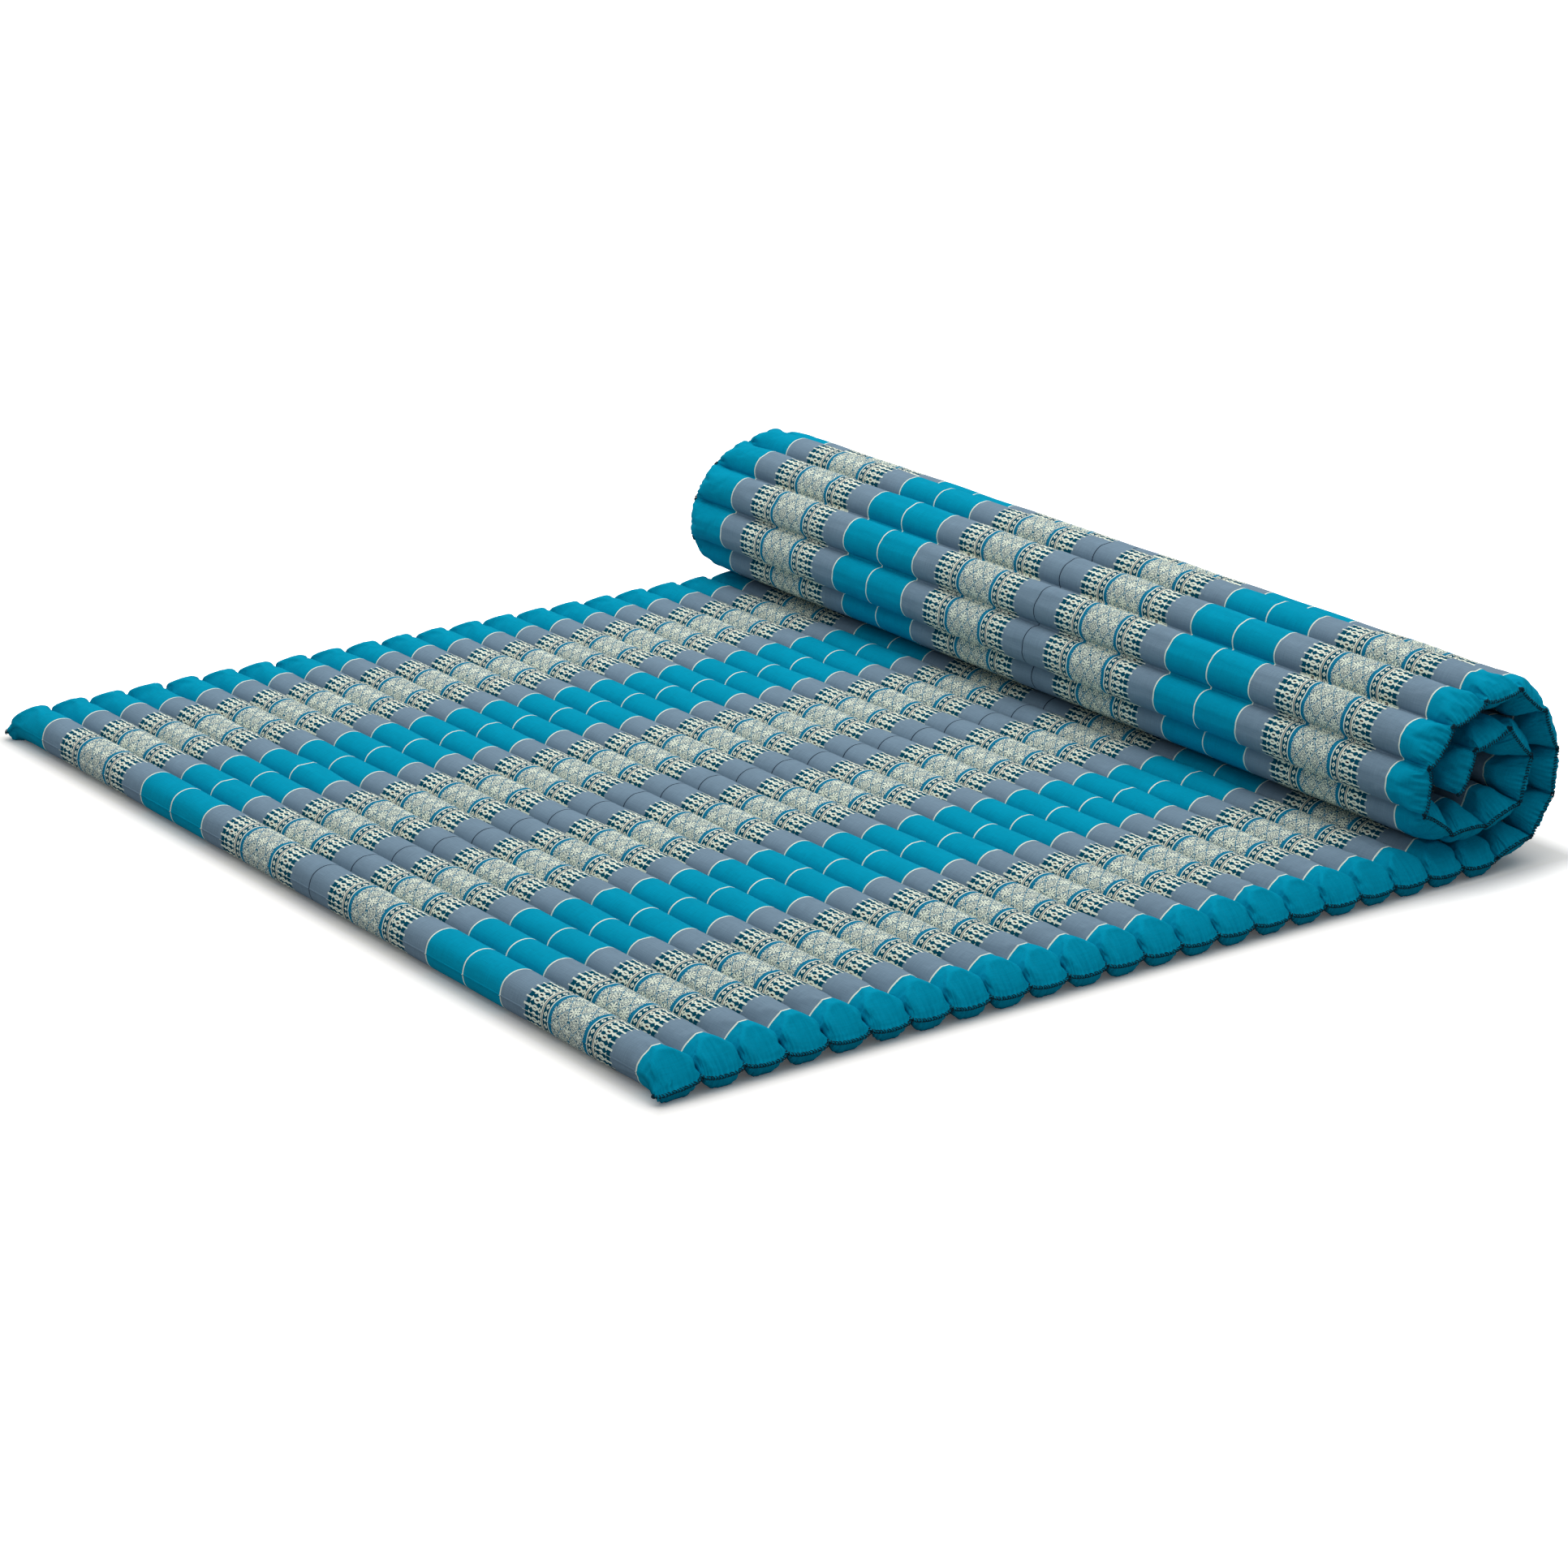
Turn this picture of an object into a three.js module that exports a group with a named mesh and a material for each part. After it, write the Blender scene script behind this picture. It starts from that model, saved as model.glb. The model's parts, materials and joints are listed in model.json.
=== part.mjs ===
// Roll-up floor mattress: kapok-filled cotton tubes sewn side by side. The tubes of one
// half lie flat on the floor, the others are rolled up on top of them.
// Millimetres. +X runs along the mattress towards the coil, +Y along the tubes, +Z up.
import * as THREE from 'three';

// ---- driving dimensions ------------------------------------------------------------
const FLAT_TUBES = 22; // tubes that lie flat on the floor
const PITCH = 53; // from one seam to the next
const THICKNESS = 46; // crest to crest of one tube
const TUBE_LENGTH = 1430; // width of the mattress, bulged end to bulged end
const SEAM_GAP = 0.4; // clear gap between neighbouring tubes at their seam
const FLOOR_CUT = 0.5; // depth of the flat that the floor presses into each tube
const FLAT_SEAM_BEND = 20; // most that a seam of the flat run bends, degrees
const COIL_CLEARANCE = 0.5; // least gap between two turns of the coil
// resting bend at each seam of the coil, from the flat run inwards, degrees
const COIL_SEAM_BEND = [15, 41, 31, 28, 26, 45, 16, 30, 33, 61, 34, 18, 57, 58, 65, 48];
const END_TAPER = 60; // length over which each tube closes to its sewn end
const TAG_WIDTH = 24; // blank cloth tag sewn into the free edge, along the seam
const TAG_REACH = 15; // how far the tag sticks out of the seam
const TAG_THICK = 0.8;
const TAG_INSET = 75; // front end of the tubes to the middle of the tag

// ---- derived -----------------------------------------------------------------------
const HALF = THICKNESS / 2;
const REACH = (PITCH - SEAM_GAP) / 2; // centre line of a tube to its seam edge
const RAD = Math.PI / 180;
// share of the end taper, of the width and of the height at each ring of a sewn end
const END_RINGS = [
  [0, 0.62, 0.1],
  [0.12, 0.86, 0.5],
  [0.37, 0.965, 0.82],
  [1, 1, 1],
];
const UPPER_POINTS = [28, 59, 90, 121, 152]; // where the upper half is sampled, degrees
const LOWER_POINTS = [-152, -124, -56, -28]; // lower half, either side of the floor flat

// Flank angles that let two tubes meet without touching at their sharpest bend.
const flankAngle = (bend) => 90 - bend / 2 - 1.5;
const sharpest = Math.max(...COIL_SEAM_BEND) + 1;

// Pointed-oval section [x, z] of one tube, counter-clockwise from its far seam edge.
// The upper side becomes the inner side of the coil.
function section(upperFlank) {
  const lowerFlank = 86;
  const point = (deg) => {
    const [c, s] = [Math.cos(deg * RAD), Math.sin(deg * RAD)];
    const height = s > 0 ? HALF : HALF + FLOOR_CUT;
    const flank = s > 0 ? upperFlank : lowerFlank;
    const oval = 1 / Math.hypot(c / REACH, s / height);
    const wedge = REACH / (Math.abs(c) + Math.abs(s) / Math.tan(flank * RAD));
    const r = Math.min(oval, wedge);
    return [r * c, r * s];
  };
  const flat = REACH * Math.sqrt(1 - (HALF / (HALF + FLOOR_CUT)) ** 2);
  return [
    [REACH, 0],
    ...UPPER_POINTS.map(point),
    [-REACH, 0],
    ...LOWER_POINTS.slice(0, 2).map(point),
    [-flat, -HALF],
    [flat, -HALF],
    ...LOWER_POINTS.slice(2).map(point),
  ];
}

// ---- laying out the chain in the X-Z plane ------------------------------------------
// A placed tube is its start seam, its direction and its section in world X-Z.
function placeTube(start, heading, shape) {
  const [c, s] = [Math.cos(heading), Math.sin(heading)];
  const mid = [start[0] + (c * PITCH) / 2, start[1] + (s * PITCH) / 2];
  const outline = shape.map(([x, z]) => [mid[0] + x * c - z * s, mid[1] + x * s + z * c]);
  const end = [start[0] + c * PITCH, start[1] + s * PITCH];
  return { start, end, heading, mid, outline };
}

// Clear distance between two convex outlines, negative when they overlap.
function separation(a, b) {
  let best = -Infinity;
  for (const [p, q] of [[a, b], [b, a]]) {
    for (let i = 0; i < p.length; i++) {
      const [x0, z0] = p[i];
      const [x1, z1] = p[(i + 1) % p.length];
      const length = Math.hypot(x1 - x0, z1 - z0);
      const [nx, nz] = [(z1 - z0) / length, (x0 - x1) / length];
      const nearest = Math.min(...q.map(([x, z]) => (x - x0) * nx + (z - z0) * nz));
      best = Math.max(best, nearest);
    }
  }
  return best;
}

// How much room a tube has from all but its own neighbour, and from the floor.
function room(tube, placed) {
  const floor = Math.min(...tube.outline.map(([, z]) => z)) + HALF + COIL_CLEARANCE;
  const near = placed
    .slice(0, -1)
    .filter((t) => Math.hypot(t.mid[0] - tube.mid[0], t.mid[1] - tube.mid[1]) < 2 * PITCH)
    .map((t) => separation(t.outline, tube.outline));
  return Math.min(floor, ...near);
}

// The flat run, then the coil: each coil seam takes its resting bend, or the nearest
// bend that keeps its tube clear of the turns already laid.
function layOut() {
  const placed = [];
  const flatShape = section(flankAngle(FLAT_SEAM_BEND));
  const coilShape = section(flankAngle(sharpest));
  for (let i = 0; i < FLAT_TUBES; i++) {
    placed.push(placeTube([i * PITCH, 0], 0, flatShape));
  }
  for (const resting of COIL_SEAM_BEND) {
    const { end: start, heading } = placed[placed.length - 1];
    let best = null;
    for (let step = 0; step <= 60; step++) {
      const bend = resting + (step % 2 ? 1 : -1) * Math.ceil(step / 2);
      if (bend < 0 || bend > sharpest) continue;
      const tube = placeTube(start, heading + bend * RAD, coilShape);
      const clear = room(tube, placed);
      if (!best || clear > best.clear) best = { tube, clear };
      if (clear >= COIL_CLEARANCE) {
        best = { tube, clear };
        break;
      }
    }
    placed.push(best.tube);
  }
  return placed;
}

// ---- solids ------------------------------------------------------------------------
// Closed skin over rings of points; ring 0 is at the low Y end, rings run the same way.
function skin(rings) {
  const count = rings[0].length;
  const index = [];
  for (let r = 0; r + 1 < rings.length; r++) {
    for (let i = 0; i < count; i++) {
      const [a, b] = [r * count + i, r * count + ((i + 1) % count)];
      index.push(a, a + count, b + count, a, b + count, b);
    }
  }
  const top = (rings.length - 1) * count;
  for (let i = 1; i + 1 < count; i++) {
    index.push(0, i, i + 1, top, top + i + 1, top + i);
  }
  const geometry = new THREE.BufferGeometry();
  geometry.setAttribute('position', new THREE.Float32BufferAttribute(rings.flat(2), 3));
  geometry.setIndex(index);
  geometry.computeVertexNormals();
  return geometry;
}

// One padded tube lying along Y, centred on its own middle.
function tubeSolid(upperFlank) {
  const shape = section(upperFlank);
  const taper = Math.min(END_TAPER, TUBE_LENGTH / 3);
  const half = TUBE_LENGTH / 2;
  const ring = (y, [, wide, high]) => shape.map(([x, z]) => [x * wide, y, z * high]);
  const near = END_RINGS.map((e) => ring(-half + e[0] * taper, e));
  const far = END_RINGS.map((e) => ring(half - e[0] * taper, e)).reverse();
  return skin([...near, ...far]);
}

const cover = new THREE.MeshStandardMaterial({ name: 'cotton_cover', color: 0x0093b0, roughness: 0.9 });
const tape = new THREE.MeshStandardMaterial({ name: 'tag_tape', color: 0xf2f2ee, roughness: 0.8 });

const placed = layOut();
const flatSolid = tubeSolid(flankAngle(FLAT_SEAM_BEND));
const coilSolid = tubeSolid(flankAngle(sharpest));
const part = new THREE.Group();
part.name = 'rollup_mattress';
const label = (n) => String(n).padStart(2, '0');

// Every tube hangs in the seam group of the tube before it, so turning one seam group
// about Y carries the rest of the mattress with it.
let parent = part;
let heading = 0;
placed.forEach((tube, i) => {
  const seam = new THREE.Group();
  seam.name = i === 0 ? 'floor_end' : `seam_${label(i)}_${label(i + 1)}`;
  seam.position.x = i === 0 ? 0 : PITCH;
  seam.rotation.y = heading - tube.heading;
  heading = tube.heading;
  const mesh = new THREE.Mesh(i < FLAT_TUBES ? flatSolid : coilSolid, cover);
  mesh.name = `tube_${label(i + 1)}`;
  mesh.position.x = PITCH / 2;
  seam.add(mesh);
  parent.add(seam);
  parent = seam;
});

// Blank tag in the free edge of the last tube, near its front end.
const tag = new THREE.Mesh(new THREE.BoxGeometry(TAG_REACH, TAG_WIDTH, TAG_THICK), tape);
tag.name = 'blank_tag';
tag.position.set(PITCH - SEAM_GAP / 2 + 0.3 + TAG_REACH / 2, -TUBE_LENGTH / 2 + TAG_INSET, 0);
parent.add(tag);

// Stand it on the floor, centred on the origin.
part.updateMatrixWorld(true);
const box = new THREE.Box3().setFromObject(part, true);
const centre = box.getCenter(new THREE.Vector3());
part.position.set(-centre.x, -centre.y, -box.min.z);
part.updateMatrixWorld(true);

export default part;
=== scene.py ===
"""Roll-up floor mattress of kapok-filled cotton tubes, half of it laid flat, half rolled up.

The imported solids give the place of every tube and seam. This script dresses them: woven
cotton covers with gathered, whip-stitched ends, cloth hinges along the seams, and the
blank tag inside the roll. Metres throughout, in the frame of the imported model.
"""

import json
import logging
import math
from dataclasses import dataclass, field
from enum import Enum
from typing import Any, Callable, Optional, Sequence, Union

import bpy
import numpy as np
from mathutils import Matrix, Vector


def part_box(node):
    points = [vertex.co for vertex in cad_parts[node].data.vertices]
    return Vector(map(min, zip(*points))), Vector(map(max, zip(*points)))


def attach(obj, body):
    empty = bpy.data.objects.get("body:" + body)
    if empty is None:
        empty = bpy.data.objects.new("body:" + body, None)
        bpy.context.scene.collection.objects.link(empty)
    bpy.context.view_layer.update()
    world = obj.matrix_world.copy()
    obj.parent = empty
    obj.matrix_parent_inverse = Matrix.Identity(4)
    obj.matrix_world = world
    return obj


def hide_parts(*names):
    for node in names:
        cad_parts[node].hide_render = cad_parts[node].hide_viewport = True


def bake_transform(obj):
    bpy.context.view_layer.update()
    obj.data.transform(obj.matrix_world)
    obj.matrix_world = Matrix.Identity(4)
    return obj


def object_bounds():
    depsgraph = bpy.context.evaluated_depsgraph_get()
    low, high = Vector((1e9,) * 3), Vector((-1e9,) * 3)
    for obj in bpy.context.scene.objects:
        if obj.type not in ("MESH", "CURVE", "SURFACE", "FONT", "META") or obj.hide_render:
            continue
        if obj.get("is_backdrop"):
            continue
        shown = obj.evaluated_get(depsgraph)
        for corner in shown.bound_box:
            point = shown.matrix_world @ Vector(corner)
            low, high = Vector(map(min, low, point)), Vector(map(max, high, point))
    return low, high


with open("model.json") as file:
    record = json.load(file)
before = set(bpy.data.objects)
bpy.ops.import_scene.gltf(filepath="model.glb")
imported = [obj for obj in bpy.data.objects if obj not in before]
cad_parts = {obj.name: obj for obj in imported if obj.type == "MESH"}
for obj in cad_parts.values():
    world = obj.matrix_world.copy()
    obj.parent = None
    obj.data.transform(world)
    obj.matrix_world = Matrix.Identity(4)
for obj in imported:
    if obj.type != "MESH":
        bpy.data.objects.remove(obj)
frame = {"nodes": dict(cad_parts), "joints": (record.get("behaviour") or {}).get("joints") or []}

LOG = logging.getLogger("mattress")
MM = 0.001
MIX_FIRST, MIX_SECOND, MIX_RESULT = 6, 7, 2  # the colour sockets of a Mix node
Number = Union[int, float]
Array = np.ndarray
Material, Object = bpy.types.Material, bpy.types.Object
Tree, Socket = bpy.types.NodeTree, bpy.types.NodeSocket
Colour = tuple[float, float, float, float]
WHITE: Colour = (1.0, 1.0, 1.0, 1.0)


# ---- objects, nodes and falloffs ----


def linked(name: str, data: Any) -> Object:
    """Make an object from its data and put it into the scene."""
    made = bpy.data.objects.new(name, data)
    bpy.context.scene.collection.objects.link(made)
    return made


def surface(
    name: str,
    points: Sequence,
    faces: Sequence,
    material: Material,
    cloth: Optional[Sequence] = None,
    smooth: bool = True,
) -> Object:
    """Make a mesh object.

    Args:
        name: name of the object and of its mesh.
        points: the points.
        faces: the faces, as numbers of points.
        material: the material.
        cloth: the cloth's own coordinates at each corner of each face.
        smooth: whether it is shaded smooth.

    Returns:
        The object.
    """
    mesh = bpy.data.meshes.new(name)
    mesh.from_pydata(points, [], faces)
    if cloth is not None:
        layer = mesh.uv_layers.new(name="cloth")
        layer.data.foreach_set("uv", np.asarray(cloth, np.float32).ravel())
    mesh.polygons.foreach_set("use_smooth", [smooth] * len(mesh.polygons))
    mesh.materials.append(material)
    mesh.update()
    return linked(name, mesh)


def grid_faces(rows: int, columns: int, joined: bool) -> list[list[int]]:
    """Faces of a grid of points that are numbered row by row.

    Args:
        rows: how many rows of points.
        columns: points in a row.
        joined: whether each row is a closed ring.

    Returns:
        The faces, as numbers of points.
    """
    faces = []
    for row in range(rows - 1):
        for column in range(columns if joined else columns - 1):
            a, b = row * columns + column, row * columns + (column + 1) % columns
            faces.append([a, a + columns, b + columns, b])
    return faces


def fading(distance: Any, reach: float, power: int = 2) -> Any:
    """Weight that falls from 1 at no distance to about a third at the reach."""
    return np.exp(-((distance / reach) ** power))


def unit(vector: Array) -> Array:
    """A vector's direction."""
    return vector / np.linalg.norm(vector)


def connect(tree: Tree, source: Any, socket: Socket) -> None:
    """Feed an input from an output, a Shade or a plain value.

    Args:
        tree: the node tree.
        source: what feeds the input.
        socket: the input.
    """
    source = source.socket if isinstance(source, Shade) else source
    if isinstance(source, Socket):
        tree.links.new(source, socket)
    else:
        socket.default_value = source


def add_node(
    tree: Tree, kind: str, wires: Optional[dict] = None, **settings: Any
) -> bpy.types.Node:
    """Add a node to a tree.

    Args:
        tree: the node tree.
        kind: type of the node.
        wires: what feeds its inputs, by name or number.
        settings: its own properties.

    Returns:
        The node.
    """
    node = tree.nodes.new(kind)
    for key, value in settings.items():
        setattr(node, key, value)
    for key, source in (wires or {}).items():
        connect(tree, source, node.inputs[key])
    return node


def math_node(operation: str) -> Callable[..., "Shade"]:
    """Make a method of Shade that adds a Math node.

    Args:
        operation: the node's operation.

    Returns:
        The method, which takes the node's further inputs and gives its result.
    """

    def method(value: "Shade", *others: Union["Shade", Number]) -> "Shade":
        """Add the node, whose first input is the value itself."""
        wires = dict(enumerate((value, *others)))
        node = add_node(value.tree, "ShaderNodeMath", wires, operation=operation)
        return Shade(value.tree, node.outputs[0])

    return method


class Shade:
    """A shader value in a node tree that plain arithmetic can combine, also as a mask."""

    __add__ = math_node("ADD")
    __sub__ = math_node("SUBTRACT")
    __mul__ = math_node("MULTIPLY")  # the overlap of two masks
    __truediv__ = math_node("DIVIDE")
    __or__ = math_node("MAXIMUM")  # two masks together
    __lt__ = math_node("LESS_THAN")
    __gt__ = math_node("GREATER_THAN")
    __abs__ = math_node("ABSOLUTE")
    at_least = math_node("MAXIMUM")
    at_most = math_node("MINIMUM")
    whole = math_node("FLOOR")
    fraction = math_node("FRACT")
    root = math_node("SQRT")
    sine = math_node("SINE")
    cosine = math_node("COSINE")
    angle_from = math_node("ARCTAN2")

    def __init__(self, tree: Tree, socket: Any) -> None:
        """Hold one output socket of a tree."""
        self.tree, self.socket = tree, socket

    def between(self, low: Number, high: Number) -> "Shade":
        """1 where the value lies between two numbers."""
        return (self > low) * (self < high)

    def wrapped(self, period: Number) -> "Shade":
        """Distance from the middle of the nearest repeat, from minus to plus half a period."""
        return ((self / period + 0.5).fraction() - 0.5) * period

    def stepped(self, cell: Number) -> "Shade":
        """The value at the middle of its cell, which gives woven motifs their stepped edge."""
        return (self / cell).whole() * cell + cell / 2

    def inverse(self) -> "Shade":
        """The mask of everything else."""
        return self * -1 + 1


# ---- colours and finishes ----


def linear(red: int, green: int, blue: int) -> Colour:
    """Turn an 8-bit display colour into the linear colour that a shader takes."""
    shares = [value / 255 for value in (red, green, blue)]
    return (*(s / 12.92 if s <= 0.04045 else ((s + 0.055) / 1.055) ** 2.4 for s in shares), 1.0)


class MaterialBuilder:
    """Starts a material and offers the few nodes that every finish here needs."""

    def __init__(self, name: str, roughness: float, sheen: float = 0, gloss: float = 0.04) -> None:
        """Make the material with its Principled shader.

        Args:
            name: name of the material.
            roughness: the shader's roughness.
            sheen: weight of the soft fuzz at grazing angles.
            gloss: level of its reflections.
        """
        self.material = bpy.data.materials.new(name)
        self.material.use_nodes = True
        self.tree = self.material.node_tree
        self.shader = self.tree.nodes["Principled BSDF"]
        self.set("Roughness", roughness)
        self.set("Specular IOR Level", gloss)
        if sheen:
            self.set("Sheen Weight", sheen)
            self.set("Sheen Roughness", 0.5)

    def set(self, name: str, source: Any) -> None:
        """Feed one input of the shader."""
        connect(self.tree, source, self.shader.inputs[name])

    def _parts(self, position: Socket) -> list[Shade]:
        """The three parts of a position."""
        node = add_node(self.tree, "ShaderNodeSeparateXYZ", {0: position})
        return [Shade(self.tree, part) for part in node.outputs]

    def object_position(self) -> list[Shade]:
        """The place on the object in metres."""
        return self._parts(add_node(self.tree, "ShaderNodeTexCoord").outputs["Object"])

    def cloth_position(self) -> list[Shade]:
        """The cloth's own coordinates in millimetres, along a tube and across the tubes."""
        cloth = add_node(self.tree, "ShaderNodeUVMap", uv_map="cloth").outputs[0]
        return [part * round(1 / MM) for part in self._parts(cloth)[:2]]

    def noise(self, position: Sequence[Shade], scale: float, detail: float) -> Shade:
        """Smooth noise from 0 to 1 at a position given by its two or three parts."""
        joined = add_node(self.tree, "ShaderNodeCombineXYZ", dict(enumerate(position)))
        wires = {"Vector": joined.outputs[0], "Scale": scale, "Detail": detail}
        return Shade(self.tree, add_node(self.tree, "ShaderNodeTexNoise", wires).outputs["Fac"])

    def mix(self, share: Shade, first: Any, second: Any) -> Socket:
        """Blend two colours, by the share of the second one."""
        wires = {"Factor": share, MIX_FIRST: first, MIX_SECOND: second}
        return add_node(self.tree, "ShaderNodeMix", wires, data_type="RGBA").outputs[MIX_RESULT]

    def finish(self, colour: Any, height: Shade, depth: float) -> Material:
        """Connect colour and relief to the shader.

        Args:
            colour: colour socket.
            height: relief from 0 to 1.
            depth: how deep that relief is, in metres.

        Returns:
            The material.
        """
        wires = {"Strength": 1.0, "Distance": depth, "Height": height}
        self.set("Base Color", colour)
        self.set("Normal", add_node(self.tree, "ShaderNodeBump", wires).outputs[0])
        return self.material


@dataclass(frozen=True)
class StarField:
    """Stars in nested diamonds, the middle of a woven band, in millimetres."""

    half: float = 30.4
    along: float = 20.3  # repeat of the stars
    across: float = 24.0
    radius: float = 7.6
    point: float = 0.385  # of the way to the next star
    heart: float = 2.4
    eye: float = 0.8
    petals: int = 8
    petal_edge: float = -0.62
    dash: float = 2.4
    dash_share: float = 0.72
    diamonds: tuple = (  # share of the way where each one starts and ends, and if it is dashed
        (0.41, 0.46, False),
        (0.53, 0.60, True),
        (0.63, 0.70, False),
        (0.735, 0.80, True),
        (0.83, 0.90, False),
        (0.93, 1.0, False),
    )
    blue_diamond: tuple = (0.47, 0.52)
    tooth: float = 2.6  # the field's toothed border
    tooth_slope: float = 1.3
    tooth_depth: float = 1.6

    def masks(self, off: Shade, across: Shade) -> tuple[Shade, Shade]:
        """Draw the stars and diamonds.

        Args:
            off: distance from the band's middle, in woven steps.
            across: distance across the tubes, in woven steps.

        Returns:
            Masks of the pale and of the blue parts.
        """
        x, y = off.wrapped(self.along), across.wrapped(self.across)
        way = abs(x) / self.along + abs(y) / self.across
        radius = (x * x + y * y).root()
        petals = (y.angle_from(x) * self.petals).cosine() > self.petal_edge
        pale = (radius < self.radius) * (way < self.point)
        pale = pale * (petals | (radius < self.heart)) * (radius > self.eye)
        dashes = ((abs(x) - abs(y)) / self.dash).fraction() < self.dash_share
        for low, high, dashed in self.diamonds:
            diamond = way.between(low, high)
            pale = pale | (diamond * dashes if dashed else diamond)
        return pale, way.between(*self.blue_diamond)

    def inside(self, off: Shade, across: Shade) -> Shade:
        """Mask of the field within its toothed border."""
        teeth = abs(across.wrapped(self.tooth)) * self.tooth_slope
        return off < (teeth + self.half - self.tooth_depth)


@dataclass(frozen=True)
class SpearRows:
    """Rows of small diamonds, long rings and forked tips, as places and half widths."""

    pitch: float = 8.0
    bead: float = 41.0
    bead_half: float = 3.2
    diamond: float = 52.8
    diamond_half: float = 3.3
    diamond_slope: float = 0.85
    hole_half: float = 1.1  # dark dots in beads and diamonds
    stem: tuple = (55.0, 58.0)
    stem_half: float = 1.5
    ring: float = 61.8
    ring_half: float = 4.3
    ring_slope: float = 0.6
    ring_side: float = 3.2
    slot_half: tuple = (2.5, 0.7)  # dark slot in a ring, along and across
    fork: float = 68.0
    arm_length: float = 3.9
    arm_slope: float = 0.62
    arm_half: float = 1.0
    shaft_start: float = 66.5
    shaft_half: float = 1.1
    tip: float = 81.6

    def masks(self, off: Shade, row: Shade) -> tuple[Shade, Shade]:
        """Draw the rows.

        Args:
            off: distance from the band's middle, in woven steps.
            row: distance from the middle of the nearest row.

        Returns:
            Masks of the pale parts and of the dark dots in them.
        """
        bead = abs(off - self.bead) + row
        diamond = abs(off - self.diamond) * self.diamond_slope + row
        ring = abs(off - self.ring) * self.ring_slope + row
        arms = abs(row - (off - self.fork) * self.arm_slope) < self.arm_half
        pale = (bead < self.bead_half) | (diamond < self.diamond_half)
        pale = pale | ((ring < self.ring_half) * (row < self.ring_side))
        pale = pale | (off.between(*self.stem) * (row < self.stem_half))
        pale = pale | (arms * off.between(self.fork, self.fork + self.arm_length))
        pale = pale | (off.between(self.shaft_start, self.tip) * (row < self.shaft_half))
        slot_along, slot_across = self.slot_half
        dark = (bead < self.hole_half) | (diamond < self.hole_half)
        dark = dark | ((abs(off - self.ring) < slot_along) * (row < slot_across))
        return pale, dark


@dataclass(frozen=True)
class StripedCotton:
    """The striped cotton cloth of the cover, with its woven bands.

    Distances are in millimetres, along the tubes from the seam across the middle, or from
    the middle of a woven band.
    """

    teal: Colour = linear(0, 157, 188)
    grey: Colour = linear(128, 150, 166)
    ground: Colour = linear(0, 78, 100)
    blue: Colour = linear(24, 128, 164)
    cream: Colour = linear(247, 250, 230)
    brown: Colour = linear(150, 140, 132)
    dark: Colour = linear(38, 26, 34)
    seam: Colour = linear(22, 34, 52)
    inner_grey: float = 246.0  # outer edge of the grey across the middle
    thin_line: float = 320.0  # lone line in the teal
    outer_grey: tuple = (393.0, 645.0)  # grey round the outer woven band
    line: float = 2.1  # width of the pale lines
    seam_half: float = 0.7
    seam_dip_half: float = 1.3
    band_middles: tuple = (120.0, 519.0)
    cell: float = 0.85  # one woven step
    blue_outer: float = 35.6  # plain blue band round the stars
    pale_outer: float = 36.8  # thin pale line
    brown_line: tuple = (45.4, 49.4)  # brown line with pale edges
    brown_edge: float = 1.05
    ground_outer: float = 80.2  # dark ground, which is pointed between the spears
    ground_slope: float = -0.6
    stars: StarField = StarField()
    spears: SpearRows = SpearRows()
    thread_step: float = 7.8  # weave, as an angle for each millimetre
    relief: float = 0.35 * MM

    def _colour(self, build: MaterialBuilder, reach: Shade, across: Shade) -> tuple[Any, Shade]:
        """Lay the stripes, woven bands and pale lines over each other.

        Args:
            build: the material's builder.
            reach: distance from the seam across the middle.
            across: distance across the tubes.

        Returns:
            The colour's socket and the mask of the raised pale threads.
        """
        inner, outer = self.band_middles
        middle = (reach < self.thin_line) * (inner - outer) + outer
        off = abs(reach.stepped(self.cell) - middle.stepped(self.cell))
        steps = across.stepped(self.cell)
        row = abs(steps.wrapped(self.spears.pitch))
        in_field = self.stars.inside(off, steps)
        outside = in_field.inverse()
        spears, dark = self.spears.masks(off, row)
        stars, diamonds = self.stars.masks(off, steps)
        low, high = self.brown_line
        brown = off.between(low, high)
        edges = brown * off.between(low + self.brown_edge, high - self.brown_edge).inverse()
        pale = (spears * outside) | (stars * in_field)
        pale = pale | off.between(self.blue_outer, self.pale_outer) | edges
        for place in (self.inner_grey, self.thin_line, *self.outer_grey):
            pale = pale | (abs(reach - place) < self.line / 2)
        colour: Any = self.teal
        for mask, over in (
            ((reach < self.inner_grey) | reach.between(*self.outer_grey), self.grey),
            (off < row * self.ground_slope + self.ground_outer, self.ground),
            (((off < self.blue_outer) * outside) | (diamonds * in_field), self.blue),
            (brown, self.brown),
            (pale, self.cream),
            (dark * outside, self.dark),
            (reach < self.seam_half, self.seam),
        ):
            colour = build.mix(mask, colour, over)
        return colour, pale

    def material(self) -> Material:
        """Build the cloth's material.

        Returns:
            The material, whose pattern follows the cloth's own coordinates.
        """
        build = MaterialBuilder("striped_cotton", roughness=0.95)
        along, across = build.cloth_position()
        reach = abs(along)
        colour, pale = self._colour(build, reach, across)
        warp = build.noise((along * 0.05, across * 0.9), 1.0, 3.0)
        weft = build.noise((along * 0.9, across * 0.05), 1.0, 3.0)
        patch = build.noise((along * 0.02, across * 0.03), 1.0, 1.0)
        uneven = (warp + weft) * 0.34 + patch * 0.16 + 0.58
        wires = {0: colour, "Scale": uneven}
        colour = add_node(build.tree, "ShaderNodeVectorMath", wires, operation="SCALE").outputs[0]
        threads = (along * self.thread_step).sine() * (across * self.thread_step).sine()
        height = threads * 0.10 + (warp + weft) * 0.45 + pale * 0.35
        height = height - (reach < self.seam_dip_half) * 1.2
        return build.finish(colour, height, self.relief)


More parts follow.
